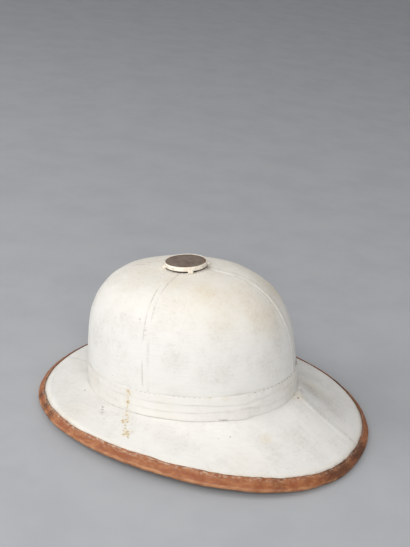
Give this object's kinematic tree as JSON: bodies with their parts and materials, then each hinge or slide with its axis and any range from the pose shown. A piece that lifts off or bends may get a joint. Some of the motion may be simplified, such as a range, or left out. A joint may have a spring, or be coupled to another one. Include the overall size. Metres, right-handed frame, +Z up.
{
  "type": "pith helmet",
  "caption": "Sun helmet with a domed crown, a wide sloping brim, a folded cloth band, a leather-bound edge and a capped ventilator.",
  "frame": {"origin": "on the surface that the helmet rests on, midway along and across the brim", "axes": "+Z up, -Y towards the wearer's front, +X towards the wearer's left"},
  "size_m": [0.2956, 0.3398, 0.1579],
  "materials": {
    "pith": "matt pressed pith, cloth faced",
    "crown_cloth": "white whitened cotton, aged and faintly stained",
    "brim_cloth": "white whitened cotton, aged and spotted",
    "band_cloth": "white cotton in pressed folds",
    "leather": "worn tan leather, scuffed and dusty",
    "cap_paint": "old white paint on sheet metal",
    "bare_metal": "bare metal, tarnished brown with rust near the rim"
  },
  "bodies": {
    "root": {"pith_crown_left": "pith", "pith_crown_right": "pith", "pith_brim": "pith", "crown_gore_front_left": "crown_cloth", "crown_gore_back_left": "crown_cloth", "crown_gore_back_right": "crown_cloth", "crown_gore_front_right": "crown_cloth", "brim_cover_left": "brim_cloth", "brim_cover_right": "brim_cloth", "folded_band": "band_cloth", "edge_binding": "leather", "vent_tube": "bare_metal", "vent_cap": "cap_paint", "vent_cap_face": "bare_metal"}
  },
  "joints": []
}
